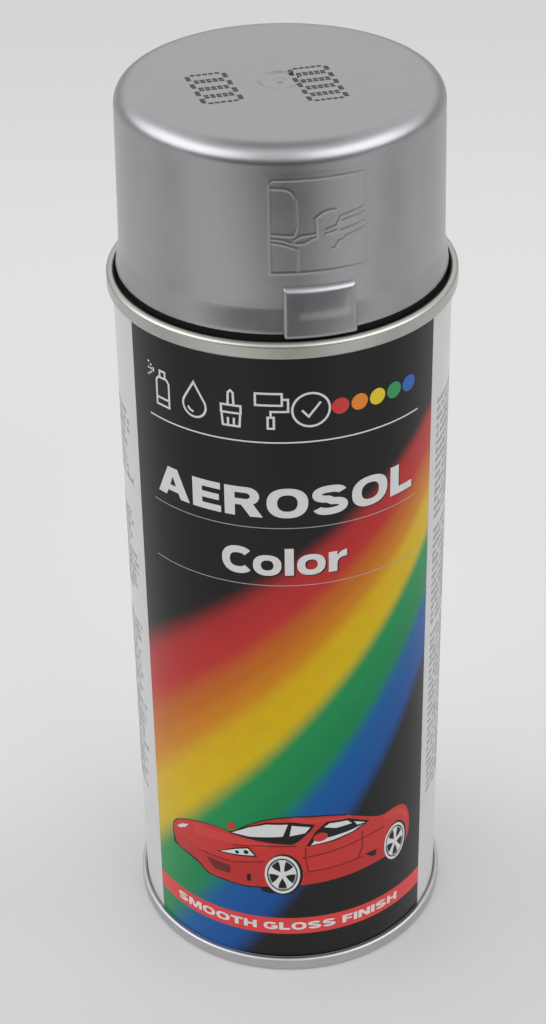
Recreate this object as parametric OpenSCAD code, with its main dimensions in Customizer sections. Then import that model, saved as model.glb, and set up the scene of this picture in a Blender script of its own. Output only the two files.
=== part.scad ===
// Aerosol spray can: a three-piece tinplate can, a one-inch valve, a push button and a prise-off overcap.
// Millimetres. The origin is the centre of the base rim, +Z is up and the printed front faces -Y.

/* [Can] */
// Outside diameter of the body wall
body_od = 65.5; // [62:0.5:69]
// Height of the can over both seams
can_h = 155.5; // [140:0.5:240]
// Thickness of the body sheet
body_t = 0.2; // [0.18:0.01:0.22]
// Thickness of the sheet of the cone and the base
end_t = 0.36; // [0.34:0.01:0.38]
// Height of a double seam
seam_h = 3.3; // [3.1:0.1:3.6]
// Width of the lap of the side weld
weld_w = 1.2; // [0.8:0.1:2]

/* [Cone and base] */
// Depth of the straight wall inside the top seam
chuck_depth = 3.9; // [3.6:0.1:4.6]
// Slope of the cone at its foot, in degrees
cone_foot_slope = 50; // [44:1:56]
// Slope of the cone at its neck, in degrees
cone_neck_slope = 20; // [16:1:24]
// Inside diameter of the valve opening
opening_d = 25.4; // [25.3:0.1:25.5]
// Slope of the base dome at its edge, in degrees
dome_slope = 28; // [22:1:32]

/* [Valve] */
// Diameter of the stem
stem_d = 4; // [3.9:0.1:4.1]
// How far the stem stands above its cup
stem_out = 8.5; // [8:0.1:9]
// How far the stem travels
stem_stroke = 1.3; // [1:0.1:1.5]
// Number of coils of the return spring
spring_coils = 7; // [6:1:8]
// Outside diameter of the dip tube
tube_od = 4.5; // [4.3:0.1:4.7]
// Diameter of a mixing ball
ball_d = 6.4; // [5:0.1:7]

/* [Button] */
// Diameter of the button at its foot
button_d = 16; // [15:0.5:18]
// Height of the button
button_h = 14.4; // [14:0.1:15]
// Diameter of the nozzle insert
insert_d = 5.6; // [5:0.1:6]

/* [Overcap] */
// Height from the base rim to the top of the overcap
total_h = 192.5; // [190:0.5:280]
// Diameter of the overcap where its side meets the top edge
cap_top_d = 61.4; // [58:0.2:61.8]
// Diameter of the overcap above its flared foot
cap_side_d = 62.4; // [62:0.1:62.6]
// Diameter of the overcap at the edge of its foot
cap_foot_d = 63.9; // [63.5:0.1:64]
// Wall of the overcap
cap_wall = 1.2; // [1:0.1:1.4]
// Radius of the overcap's top edge
cap_edge_r = 3.8; // [2.5:0.1:4]
// Width of the lifting tab
tab_w = 14.2; // [12:0.2:18]
// Angle of the lifting tab from the front, in degrees
tab_angle = 12.4; // [-30:0.1:30]

/* [Hidden] */
$fn = 96;

// Seam layers, as radii of their middle lines, from the inside out
body_r = body_od / 2;
body_mid = body_r - body_t / 2;
chuck_mid = body_r - body_t - 0.04 - end_t / 2;
cover_hook_mid = body_r + 0.08 + end_t / 2;
body_hook_mid = cover_hook_mid + end_t / 2 + 0.08 + body_t / 2;
wall_mid = body_hook_mid + body_t / 2 + 0.08 + end_t / 2;

// Seam bends and tips, with depths measured from the rim towards the middle of the can
rim_bend = (wall_mid - chuck_mid) / 2;
rim_depth = rim_bend + end_t / 2;
tuck_bend = (wall_mid - cover_hook_mid) / 2;
tuck_depth = seam_h - tuck_bend - end_t / 2;
cover_tip = 1.1;
body_bend = (body_hook_mid - body_mid) / 2;
body_rim = rim_depth + 0.14;
body_tip = 2.55;
rest_flat = 0.03;

// Cone, from the foot of its chuck wall to the curl round the valve opening
sink_bend = 1;
neck_bend = 1.3;
neck_h = 0.66;
curl_bend = 1.45;
neck_r = opening_d / 2 + end_t / 2;
curl_r = neck_r + curl_bend;
cone_foot_r = chuck_mid - sink_bend * (1 + sin(cone_foot_slope));
cone_foot_z = can_h - chuck_depth - sink_bend * cos(cone_foot_slope);
cone_top_r = neck_r + neck_bend * (1 - sin(cone_neck_slope));
cone_arc = (cone_foot_r - cone_top_r) / (sin(cone_foot_slope) - sin(cone_neck_slope));
cone_top_z = cone_foot_z + cone_arc * (cos(cone_neck_slope) - cos(cone_foot_slope));
curl_z = cone_top_z + neck_bend * cos(cone_neck_slope) + neck_h;

// Base dome
base_chuck = 3.6;
base_bend = 1.2;
dome_edge_r = chuck_mid - base_bend * (1 - sin(dome_slope));
dome_edge_z = base_chuck - rest_flat + base_bend * cos(dome_slope);
dome_arc = dome_edge_r / sin(dome_slope);
dome_centre_z = dome_edge_z - dome_arc * cos(dome_slope);

// Mounting cup
cup_t = 0.3;
gasket_t = 0.34;
gasket_bend = curl_bend + end_t / 2 + 0.04 + gasket_t / 2;
cup_bend = gasket_bend + gasket_t / 2 + 0.03 + cup_t / 2;
cup_skirt_angle = 12;
cup_drop = 1.05;
crimp_in = 0.8;
crimp_run = 0.5;
crimp_out = 1;
crimp_angle = 60;
post_r = 5.4;
post_fillet = 1;
post_shoulder = 0.9;
clinch_bend = 0.5;
clinch_angle = 50;
clinch_low = 0.6;
post_run = 3;
floor_r = curl_r - cup_bend + crimp_in * (1 - cos(crimp_angle)) + crimp_run * sin(crimp_angle)
    - crimp_out * cos(crimp_angle);
floor_z = curl_z - cup_drop - crimp_in * sin(crimp_angle) - crimp_run * cos(crimp_angle)
    - crimp_out * (1 + sin(crimp_angle));
clinch_h = 4 * clinch_bend * sin(clinch_angle);
clinch_top_z = floor_z + post_fillet + clinch_low + clinch_h;
post_top_z = clinch_top_z + post_run + post_shoulder + cup_t / 2;

// Valve, hung from the underside of the cup's post
plate_z = post_top_z - cup_t;
stem_r = stem_d / 2;
seat_t = 1.1;
seat_r = post_r - post_shoulder + 0.05;
seat_top_z = plate_z - 0.04;
seat_z = seat_top_z - seat_t;
housing_top_z = seat_z - 0.04;
housing_bore_r = 3.3;
housing_r = 4.6;
flange_r = 5.1;
flange_h = 2.1;
chamber_h = 11.4;
chamber_z = housing_top_z - chamber_h;
tail_r = 1.6;
tail_h = 7.5;
tail_z = chamber_z - 2.6;
shoulder_z = seat_z - 0.05;
shoulder_r = 3;
shoulder_h = 2.6;
boss_r = 1.8;
stem_top_z = post_top_z + stem_out;
wire_r = 0.26;
coil_r = 2.5;
coil_low = chamber_z + 0.04 + wire_r;
coil_high = shoulder_z - shoulder_h - 0.04 - wire_r;

// Dip tube
tube_r = tube_od / 2;
tube_bore_r = tail_r + 0.12;
tube_top_z = tail_z - 0.05;
tube_foot_r = body_r - 6.5;
tube_foot_z = dome_centre_z + dome_arc - 2.6;
tube_bend = 2 * atan(tube_foot_r / (tube_top_z - tube_foot_z));
tube_arc = (tube_top_z - tube_foot_z) / sin(tube_bend);

// Mixing balls, at rest in the corner of the base and the wall
ball_r = ball_d / 2;
ball_ring = body_r - body_t - ball_r - 0.06;
ball_z = dome_centre_z + sqrt(pow(dome_arc + end_t / 2 + ball_r + 0.04, 2) - pow(ball_ring, 2));
ball_a_angle = 62;
ball_b_angle = 84;

// Button
button_r = button_d / 2;
button_z = post_top_z + 0.4;
button_top_z = button_z + button_h;
button_roof_z = post_top_z + stem_stroke + 1.2;
button_skin = 1.3;
socket_r = stem_r + 0.04;
socket_wall_r = 4;
pad_cut_r = 13;
insert_r = insert_d / 2;
insert_z = button_top_z - 5;
insert_depth = 3.6;
nozzle_face = button_r - 0.9;

// Overcap
cap_foot_z = can_h + 0.8;
cap_flare_h = 5;
cap_plug_r = chuck_mid - end_t / 2 - 0.55;
cap_snap_r = chuck_mid - end_t / 2 - 0.08;
cap_plug_t = 1;
cap_plug_z = can_h - 3.1;
cap_snap_z = can_h - 1.7;
cap_snap_h = 0.6;
cap_side_r = cap_side_d / 2;
cap_top_r = cap_top_d / 2;
cap_foot_r = cap_foot_d / 2;
rib_count = 8;
rib_in = 1.5;
rib_span = 1.8;
tab_r = cap_foot_r + 1.05;
tab_low = can_h + 0.3;
tab_high = can_h + 10.5;
tab_span = 2 * asin(tab_w / 2 / tab_r);
gate_r = 4;
gate_depth = 0.35;

function dir(a) = [cos(a), sin(a)];

function unit(v) = v / norm(v);

function left(v) = [-v[1], v[0]];

// Points of an arc about [x, z], from angle a to angle b
function arc(x, z, r, a, b, n = 16) = [for (i = [0:n]) [x, z] + r * dir(a + (b - a) * i / n)];

// Number of straight pieces that stand for a bend: gentle bends of large radius get shorter steps
function bend_steps(r, turn) = ceil(abs(turn) / (r > 10 ? 2 : 12));

// Path of a bent sheet. A move is [length] straight on, or [radius, turn] round a bend, in degrees.
// A bend to the left is positive.
function walk(p, heading, moves, i = 0) =
    i == len(moves) ? [p]
    : len(moves[i]) == 1
        ? concat([p], walk(p + moves[i][0] * dir(heading), heading, moves, i + 1))
        : let (
            turn = moves[i][1],
            arm = moves[i][0] * sign(turn),
            centre = p + arm * dir(heading + 90),
            n = bend_steps(moves[i][0], turn)
        ) concat(
            [for (k = [0:n - 1]) centre - arm * dir(heading + 90 + turn * k / n)],
            walk(centre - arm * dir(heading + 90 + turn), heading + turn, moves, i + 1)
        );

// Mitred normal of a path at its point i
function mitre(path, i) =
    let (
        last = len(path) - 1,
        before = left(unit(path[max(i, 1)] - path[max(i, 1) - 1])),
        after = left(unit(path[min(i, last - 1) + 1] - path[min(i, last - 1)])),
        s = before + after
    ) 2 * s / (s * s);

// Point p moved by v, and kept on the right of the axis
function shifted(p, v) = [max(0, p[0] + v[0]), p[1] + v[1]];

// Outline of a sheet of thickness t along a path
function sheet(path, t) = concat(
    [for (i = [0:len(path) - 1]) shifted(path[i], mitre(path, i) * t / 2)],
    [for (i = [len(path) - 1:-1:0]) shifted(path[i], -mitre(path, i) * t / 2)]
);

// Depths from the rim, carried to heights at the top seam and at the base seam
function at_top(path) = [for (p = path) [p[0], can_h - p[1]]];
function at_base(path) = [for (p = path) [p[0], p[1] - rest_flat]];
function reversed(path) = [for (i = [len(path) - 1:-1:0]) path[i]];

// The hook that the body wall makes inside a seam, from its tip to the wall
body_hook = walk([body_hook_mid, body_tip], -90, [[body_tip - body_rim], [body_bend, -180]]);

// The rim that an end makes, from the tip of its hook to the top of its chuck wall, in depths
function end_rim() = [
    [tuck_depth - cover_tip],
    [tuck_bend, -180],
    [tuck_depth - rim_depth],
    [rim_bend, -180]
];

// The same rim, seen from below, so its bends turn the other way
function end_rim_top() = [for (m = end_rim()) len(m) == 1 ? m : [m[0], -m[1]]];

cone_path = walk([cover_hook_mid, can_h - cover_tip], 270, concat(end_rim_top(), [
    [chuck_depth - rim_depth],
    [sink_bend, -90 - cone_foot_slope],
    [cone_arc, cone_foot_slope - cone_neck_slope],
    [neck_bend, cone_neck_slope - 90],
    [neck_h],
    [curl_bend, -240]
]));

dome_path = walk([cover_hook_mid, cover_tip - rest_flat], 90, concat(end_rim(), [
    [base_chuck - rim_depth],
    [base_bend, 90 - dome_slope],
    [dome_arc, dome_slope]
]));

cup_path = walk([curl_r, curl_z] + cup_bend * dir(-cup_skirt_angle), 90 - cup_skirt_angle, [
    [cup_bend, 180 + cup_skirt_angle],
    [cup_drop],
    [crimp_in, crimp_angle],
    [crimp_run],
    [crimp_out, -90 - crimp_angle],
    [floor_r - post_r - post_fillet],
    [post_fillet, -90],
    [clinch_low],
    [clinch_bend, clinch_angle],
    [clinch_bend, -2 * clinch_angle],
    [clinch_bend, clinch_angle],
    [post_run],
    [post_shoulder, 90],
    [post_r - post_shoulder - stem_r - 0.08]
]);

// The crescent of compound between an end's rim and the body hook, in depths
compound = concat(
    arc(wall_mid - rim_bend, rim_depth, rim_bend - end_t / 2 - 0.02, -160, -20),
    arc(body_mid + body_bend, body_rim, body_bend + body_t / 2 + 0.02, -20, -160)
);

// Turns an outline into a full ring about the axis
module ring(outline) {
    rotate_extrude() polygon(outline);
}

module can_body() {
    color([0.16, 0.16, 0.17]) {
        ring(sheet(concat(at_top(body_hook), reversed(at_base(body_hook))), body_t));
        rotate(90 - weld_w / body_r * 90 / PI)
            rotate_extrude(angle = weld_w / body_r * 180 / PI)
                translate([body_r - body_t / 2, seam_h + 0.3])
                    square([body_t / 2 + 0.06, can_h - 2 * seam_h - 0.6]);
    }
}

module top_cone() {
    color([0.78, 0.78, 0.76]) ring(sheet(cone_path, end_t));
}

// The rim of the base is flat where the can stands
module base_dome() {
    color([0.72, 0.72, 0.7])
        rotate_extrude()
            difference() {
                polygon(sheet(dome_path, end_t));
                translate([body_r - 3, -1]) square([6, 1]);
            }
}

module top_seam_compound() {
    color([0.75, 0.7, 0.55]) ring(at_top(compound));
}

module base_seam_compound() {
    color([0.75, 0.7, 0.55]) ring(at_base(compound));
}

module mounting_cup() {
    color([0.8, 0.79, 0.74]) ring(sheet(cup_path, cup_t));
}

// The gasket lies over the curl of the cone, under the skirt of the cup
module cup_gasket() {
    color([0.15, 0.15, 0.15]) ring(sheet(arc(curl_r, curl_z, gasket_bend, 0, 180), gasket_t));
}

module stem_gasket() {
    color([0.1, 0.1, 0.1])
        translate([0, 0, seat_z])
            difference() {
                cylinder(h = seat_t, r = seat_r);
                translate([0, 0, -1]) cylinder(h = seat_t + 2, r = stem_r + 0.03);
            }
}

// A cup for the spring and the stem, with a barbed tail that the dip tube pushes on to
module valve_housing() {
    barb = 0.03;
    color([0.93, 0.92, 0.88])
        ring([
            [housing_bore_r, housing_top_z],
            [flange_r, housing_top_z],
            [flange_r, housing_top_z - flange_h],
            [housing_r, housing_top_z - flange_h - 0.3],
            [housing_r, chamber_z - 0.6],
            [tail_r + 0.9, tail_z + 0.6],
            [tail_r + 0.9, tail_z],
            [tail_r, tail_z],
            [tail_r, tail_z - tail_h + 1.2],
            [tail_r + barb, tail_z - tail_h + 1],
            [tail_r - 0.3, tail_z - tail_h],
            [tail_r - 0.7, tail_z - tail_h],
            [tail_r - 0.7, chamber_z],
            [housing_bore_r, chamber_z]
        ]);
}

// The outlet runs down from the tip, and turns out through the side hole that the gasket covers at rest
module valve_stem() {
    outlet_r = 1.1;
    side_hole_z = seat_z + seat_t / 2;
    boss_z = shoulder_z - shoulder_h - 1.5;
    color([0.9, 0.9, 0.88])
        difference() {
            ring([
                [0, boss_z],
                [boss_r - 0.4, boss_z],
                [boss_r, boss_z + 0.4],
                [boss_r, shoulder_z - shoulder_h],
                [shoulder_r, shoulder_z - shoulder_h],
                [shoulder_r, shoulder_z - 0.4],
                [shoulder_r - 0.4, shoulder_z],
                [stem_r, shoulder_z],
                [stem_r, stem_top_z - 0.3],
                [stem_r - 0.3, stem_top_z],
                [outlet_r, stem_top_z],
                [outlet_r, side_hole_z - 0.6],
                [0, side_hole_z - 0.6]
            ]);
            translate([0, 0, side_hole_z]) rotate([90, 0, 0]) cylinder(h = stem_r + 1, r = 0.3);
        }
}

// A round wire along a helix, with a closed coil at each end
module valve_spring() {
    steps = 20;
    sides = 8;
    count = spring_coils * steps;
    closed = 2 * wire_r + 0.02;
    pitch = (coil_high - coil_low - 2 * closed) / (spring_coils - 2);
    function rise(turns) =
        turns < 1 ? turns * closed
        : turns < spring_coils - 1 ? closed + (turns - 1) * pitch
        : closed + (spring_coils - 2) * pitch + (turns - spring_coils + 1) * closed;
    points = [
        for (i = [0:count], k = [0:sides - 1])
            let (
                a = 360 * i / steps,
                r = coil_r + wire_r * cos(360 * k / sides)
            ) [r * cos(a), r * sin(a), coil_low + rise(i / steps) + wire_r * sin(360 * k / sides)]
    ];
    around = [
        for (i = [0:count - 1], k = [0:sides - 1])
            let (
                here = i * sides,
                next = here + sides,
                k2 = (k + 1) % sides
            ) [here + k, here + k2, next + k2, next + k]
    ];
    ends = [
        [for (k = [sides - 1:-1:0]) k],
        [for (k = [0:sides - 1]) count * sides + k]
    ];
    color([0.7, 0.71, 0.72]) polyhedron(points, concat(around, ends));
}

// The dip tube keeps the curve of its reel, and leans forward to the corner of the base
module dip_tube() {
    color([0.92, 0.92, 0.9])
        translate([0, -tube_arc, tube_top_z])
            rotate([-90, 0, 0])
                rotate([0, -90, 0])
                    rotate_extrude(angle = tube_bend)
                        translate([tube_arc, 0])
                            difference() {
                                circle(tube_r);
                                circle(tube_bore_r);
                            }
}

module mixing_ball(angle) {
    color([0.75, 0.76, 0.78])
        rotate(angle) translate([ball_ring, 0, ball_z]) sphere(ball_r);
}

module mixing_ball_a() {
    mixing_ball(ball_a_angle);
}

module mixing_ball_b() {
    mixing_ball(ball_b_angle);
}

// A hollow button with a socket for the stem, a dished finger pad and a pocket for the nozzle insert
module actuator_button() {
    duct_r = 0.8;
    pocket_y = -nozzle_face + insert_depth;
    color([0.93, 0.93, 0.91])
        difference() {
            union() {
                ring([
                    [button_r - button_skin, button_z],
                    [button_r, button_z],
                    [button_r - 0.5, button_top_z - 1.5],
                    [button_r - 1, button_top_z - 0.4],
                    [button_r - 1.8, button_top_z],
                    [0, button_top_z],
                    [0, stem_top_z + 2],
                    [button_r - button_skin - 0.3, stem_top_z + 2]
                ]);
                translate([0, 0, button_roof_z])
                    cylinder(h = stem_top_z + 2.5 - button_roof_z, r = socket_wall_r);
                translate([-insert_r - 1.1, -button_r + 0.6, insert_z - insert_r - 1.1])
                    cube([2 * insert_r + 2.2, button_r - 0.6, insert_r + 2]);
            }
            translate([0, 0, button_roof_z - 1])
                cylinder(h = stem_top_z + 0.05 - button_roof_z + 1, r = socket_r);
            translate([0, 0, stem_top_z - 1]) cylinder(h = insert_z - stem_top_z + 1, r = duct_r);
            translate([0, 0, insert_z]) rotate([90, 0, 0]) cylinder(h = nozzle_face, r = duct_r);
            translate([0, pocket_y, insert_z])
                rotate([90, 0, 0]) cylinder(h = button_r, r = insert_r + 0.03);
            translate([0, 1, button_top_z + pad_cut_r - 2])
                rotate([0, 90, 0]) cylinder(h = 3 * button_r, r = pad_cut_r, center = true);
        }
}

// A plug with a swirl chamber at its back and a fine orifice through a dished face
module nozzle_insert() {
    orifice_r = 0.25;
    swirl_r = 1.4;
    color([0.85, 0.2, 0.15])
        translate([0, -nozzle_face, insert_z])
            rotate([-90, 0, 0])
                ring([
                    [orifice_r, 0.5],
                    [orifice_r + 0.8, 0],
                    [insert_r - 0.2, 0],
                    [insert_r, 0.2],
                    [insert_r, insert_depth - 0.05],
                    [swirl_r, insert_depth - 0.05],
                    [swirl_r, 1.5],
                    [orifice_r, 1.1]
                ]);
}

// The side and roof of the overcap, with the plug that snaps inside the top seam
module cap_shell() {
    edge_z = total_h - cap_edge_r;
    flare_z = cap_foot_z + cap_flare_h;
    plug_in = cap_plug_r - cap_plug_t;
    snap_mid_r = (cap_snap_r + cap_plug_r) / 2;
    ring(concat(
        [
            [plug_in, cap_plug_z],
            [cap_plug_r - 0.4, cap_plug_z],
            [cap_plug_r, cap_plug_z + 0.4],
            [cap_plug_r, cap_snap_z - cap_snap_h],
            [snap_mid_r, cap_snap_z - cap_snap_h / 2],
            [cap_snap_r, cap_snap_z - cap_snap_h / 4],
            [cap_snap_r, cap_snap_z + cap_snap_h / 4],
            [snap_mid_r, cap_snap_z + cap_snap_h / 2],
            [cap_plug_r, cap_snap_z + cap_snap_h],
            [cap_plug_r, cap_foot_z],
            [cap_foot_r - 0.15, cap_foot_z],
            [cap_foot_r, cap_foot_z + 0.2],
            [cap_side_r, flare_z]
        ],
        arc(cap_top_r - cap_edge_r, edge_z, cap_edge_r, 0, 90),
        [[0, total_h], [0, total_h - cap_wall]],
        arc(cap_top_r - cap_edge_r, edge_z, cap_edge_r - cap_wall, 90, 0),
        [[cap_side_r - cap_wall, flare_z], [plug_in, cap_foot_z - 0.5]]
    ));
}

// A lug with rounded long edges that stands over the seam, for a lever to lift
module cap_tab() {
    round_r = 0.7;
    inner_r = cap_side_r - cap_wall / 3;
    rotate(tab_angle - 90 - tab_span / 2)
        rotate_extrude(angle = tab_span)
            polygon(concat(
                [[inner_r, tab_low]],
                arc(tab_r - round_r, tab_low + round_r, round_r, -90, 0, 6),
                arc(tab_r - round_r, tab_high - round_r, round_r, 0, 90, 6),
                [[inner_r, tab_high]]
            ));
}

// A stiffening rib inside the overcap, rooted in its side and roof
module cap_rib() {
    foot_z = cap_foot_z + 1.5;
    root_r = cap_edge_r - cap_wall / 2;
    rotate_extrude(angle = rib_span)
        polygon(concat(
            [[cap_top_r - cap_wall - rib_in, foot_z], [cap_side_r - cap_wall / 3, foot_z]],
            arc(cap_top_r - cap_edge_r, total_h - cap_edge_r, root_r, 0, 75, 5),
            [[cap_top_r - cap_wall - rib_in, total_h - cap_wall / 2]]
        ));
}

module overcap() {
    color([0.6, 0.61, 0.62])
        difference() {
            union() {
                cap_shell();
                cap_tab();
                for (i = [0:rib_count - 1])
                    rotate(360 * (i + 0.5) / rib_count - rib_span / 2) cap_rib();
            }
            translate([0, 0, total_h - gate_depth]) cylinder(h = 1, r = gate_r);
        }
}

can_body();
top_cone();
base_dome();
top_seam_compound();
base_seam_compound();
mounting_cup();
cup_gasket();
valve_housing();
stem_gasket();
valve_spring();
valve_stem();
actuator_button();
nozzle_insert();
dip_tube();
mixing_ball_a();
mixing_ball_b();
overcap();
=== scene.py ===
"""Looks of the aerosol spray can: its print, the detail of its overcap, every material, the floor, the light
and the camera. Lengths are in metres. A value times MM is in millimetres. The can's axis is Z, its front -Y.
"""

import math
import random

import bmesh
import bpy
from mathutils import Matrix, Vector


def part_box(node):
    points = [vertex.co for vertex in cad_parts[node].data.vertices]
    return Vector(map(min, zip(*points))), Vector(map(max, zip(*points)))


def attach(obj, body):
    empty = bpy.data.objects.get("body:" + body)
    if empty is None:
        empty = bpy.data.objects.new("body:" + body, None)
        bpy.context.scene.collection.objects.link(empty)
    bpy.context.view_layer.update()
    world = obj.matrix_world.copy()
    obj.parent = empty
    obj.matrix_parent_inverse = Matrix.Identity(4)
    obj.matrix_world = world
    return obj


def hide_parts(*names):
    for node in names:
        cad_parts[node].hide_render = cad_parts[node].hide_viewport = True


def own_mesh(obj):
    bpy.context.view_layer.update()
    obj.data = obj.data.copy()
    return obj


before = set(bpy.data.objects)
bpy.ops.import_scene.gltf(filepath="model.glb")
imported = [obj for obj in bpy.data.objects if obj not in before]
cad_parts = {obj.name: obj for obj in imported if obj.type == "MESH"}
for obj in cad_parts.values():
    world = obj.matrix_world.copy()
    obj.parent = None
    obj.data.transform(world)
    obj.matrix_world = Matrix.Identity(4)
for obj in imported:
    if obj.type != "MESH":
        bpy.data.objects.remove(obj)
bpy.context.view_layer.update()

MM = 0.001

# Places and sizes from the frame
BODY_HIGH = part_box("can_body")[1]
CAP_LOW, CAP_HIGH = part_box("overcap")
HOOK_OVER_WALL = 0.72 * MM  # how far the body's hooks stand outside its wall
WALL_R = BODY_HIGH.x - HOOK_OVER_WALL
WALL_MM = WALL_R / MM
HOOK_UNDER_RIM = 0.562 * MM  # how far the hooks lie inside the seams
CAN_TOP = BODY_HIGH.z + HOOK_UNDER_RIM

# Overcap, in millimetres, as in the CAD model
CAP_TOP_R = 30.7
CAP_SIDE_R = 31.2
CAP_FOOT_R = 31.95
CAP_WALL = 1.2
CAP_EDGE_R = 3.8
CAP_FLARE_H = 5.0
CAP_PLUG_R = 31.6
CAP_PLUG_T = 1.0
CAP_SNAP_R = CAP_LOW.x / -MM
CAP_TOP_Z = CAP_HIGH.z / MM
CAP_PLUG_Z = CAP_LOW.z / MM
CAP_FOOT_Z = CAP_PLUG_Z + 3.9
CAP_SNAP_Z = CAP_PLUG_Z + 1.4
CAP_FLARE_Z = CAP_FOOT_Z + CAP_FLARE_H
CAP_TURN = 288

# Lifting tab, in millimetres and degrees from the front
TAB_R = 33.0
TAB_W = 14.2
TAB_ANGLE = 12.4
TAB_LOW = CAP_FOOT_Z - 0.6
TAB_HIGH = CAP_FOOT_Z + 9.4

# Print, in millimetres round the wall from the front (u) and up from the base (v)
MM_PER_DEGREE = WALL_MM * math.pi / 180
SEAM_H = 3.1
PANEL_LEFT = -60.0 * MM_PER_DEGREE
PANEL_RIGHT = 59.5 * MM_PER_DEGREE
PANEL_LOW = SEAM_H
PANEL_HIGH = CAN_TOP / MM - SEAM_H
PANEL_TOP = 0.03  # how far the panel's face stands proud of the wall
MARK_TOP = 0.05  # the same for what is printed over it
INK_STEP = 0.02  # from one layer of ink to the next
INK_T = 0.06
SLICE = 0.8  # width of the strips that flat artwork is cut into before it is wrapped


# ---------------------------------------------------------------- mesh helpers


def linked(name, data):
    """An object in the scene."""
    obj = bpy.data.objects.new(name, data)
    bpy.context.scene.collection.objects.link(obj)
    return obj


def mesh_object(name, verts, faces, material, sharp_angle=35):
    """An object from points in millimetres."""
    mesh = bpy.data.meshes.new(name)
    mesh.from_pydata([[c * MM for c in v] for v in verts], [], faces)
    return finished(name, mesh, material, sharp_angle)


def finished(name, mesh, material=None, sharp_angle=35):
    """A smooth-shaded object of the mesh, with edges over sharp_angle degrees left sharp."""
    mesh.validate()
    mesh.polygons.foreach_set("use_smooth", [True] * len(mesh.polygons))
    mesh.set_sharp_from_angle(angle=math.radians(sharp_angle))
    if material:
        mesh.materials.append(material)
    return linked(name, mesh)


def polar(a, r, z):
    """A point at an angle round the can from its front, in radians."""
    return (r * math.sin(a), -r * math.cos(a), z)


def arc(x, z, r, start, end, count):
    """Points of an arc about (x, z), from one angle to the other, in degrees."""
    angles = [math.radians(start + (end - start) * i / count) for i in range(count + 1)]
    return [(x + r * math.cos(a), z + r * math.sin(a)) for a in angles]


def line(a, b, count):
    """Points from a to b, without a itself."""
    shares = [i / count for i in range(1, count + 1)]
    return [(a[0] + (b[0] - a[0]) * t, a[1] + (b[1] - a[1]) * t) for t in shares]


def lathe(name, path, turn, relief, material):
    """Turns a closed path of (radius, height) points about the can's axis and moves each point by the relief.
    A point on the axis becomes one vertex."""
    verts, rows = [], []
    for r, z in path:
        count = turn if r else 1
        rows.append(range(len(verts), len(verts) + count))
        verts += [polar(2 * math.pi * k / turn, r, z) for k in range(count)]
    faces = []
    for low, high in zip(rows, rows[1:] + rows[:1]):
        if len(low) == len(high) == 1:
            continue
        for k in range(turn):
            n = (k + 1) % turn
            if len(low) == 1:
                faces.append((low[0], high[n], high[k]))
            elif len(high) == 1:
                faces.append((low[k], low[n], high[0]))
            else:
                faces.append((low[k], low[n], high[n], high[k]))
    return mesh_object(name, [relief(v) for v in verts], faces, material)


def prism(verts, faces, low, high):
    """Adds a closed solid between two loops of the same number of points."""
    start, sides = len(verts), len(low)
    verts += low + high
    faces.append([start + k for k in reversed(range(sides))])
    faces.append([start + sides + k for k in range(sides)])
    for k in range(sides):
        n = (k + 1) % sides
        faces.append([start + k, start + n, start + sides + n, start + sides + k])


def plate(name, front, back, w, material):
    """A solid between a front and a back grid of points, each in rows of w points."""
    h = len(front) // w
    size = w * h
    faces = []
    for j in range(h - 1):
        for i in range(w - 1):
            k = j * w + i
            faces.append((k, k + 1, k + w + 1, k + w))
            faces.append((size + k + w, size + k + w + 1, size + k + 1, size + k))
    border = list(range(w)) + [j * w + w - 1 for j in range(1, h)]
    border += [(h - 1) * w + i for i in reversed(range(w - 1))] + [j * w for j in reversed(range(1, h - 1))]
    for k, n in zip(border, border[1:] + border[:1]):
        faces.append((n, k, size + k, size + n))
    return mesh_object(name, front + back, faces, material)


def joined(name, objects, material):
    """One object made of several, which are used up."""
    bm = bmesh.new()
    for obj in objects:
        bm.from_mesh(obj.data)
        bpy.data.objects.remove(obj)
    mesh = bpy.data.meshes.new(name)
    bm.to_mesh(mesh)
    bm.free()
    return finished(name, mesh, material)


# ---------------------------------------------------------------- flat artwork, wrapped on the can


def shape(name, loops, rounded=False):
    """A flat solid, INK_T thick, inside loops of (u, v) points. A loop inside another is a hole."""
    curve = bpy.data.curves.new(name, "CURVE")
    curve.dimensions = "2D"
    curve.fill_mode = "BOTH"
    curve.extrude = INK_T / 2
    curve.resolution_u = 8
    for loop in loops:
        spline = curve.splines.new("BEZIER" if rounded else "POLY")
        spline.use_cyclic_u = True
        points = spline.bezier_points if rounded else spline.points
        points.add(len(loop) - 1)
        for point, (u, v) in zip(points, loop):
            if rounded:
                point.co = (u, v, 0)
                point.handle_left_type = point.handle_right_type = "AUTO"
            else:
                point.co = (u, v, 0, 1)
    obj = linked(name, curve)
    bpy.context.view_layer.update()
    mesh = bpy.data.meshes.new_from_object(obj.evaluated_get(bpy.context.evaluated_depsgraph_get()))
    bpy.data.objects.remove(obj)
    bm = bmesh.new()
    bm.from_mesh(mesh)
    bmesh.ops.remove_doubles(bm, verts=bm.verts, dist=1e-4)
    return bm


def box_loop(u0, v0, u1, v1):
    """A rectangle."""
    return [(u0, v0), (u1, v0), (u1, v1), (u0, v1)]


def circle_loop(u, v, r, count=40):
    """A circle."""
    turns = [2 * math.pi * i / count for i in range(count)]
    return [(u + r * math.cos(a), v + r * math.sin(a)) for a in turns]


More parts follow.
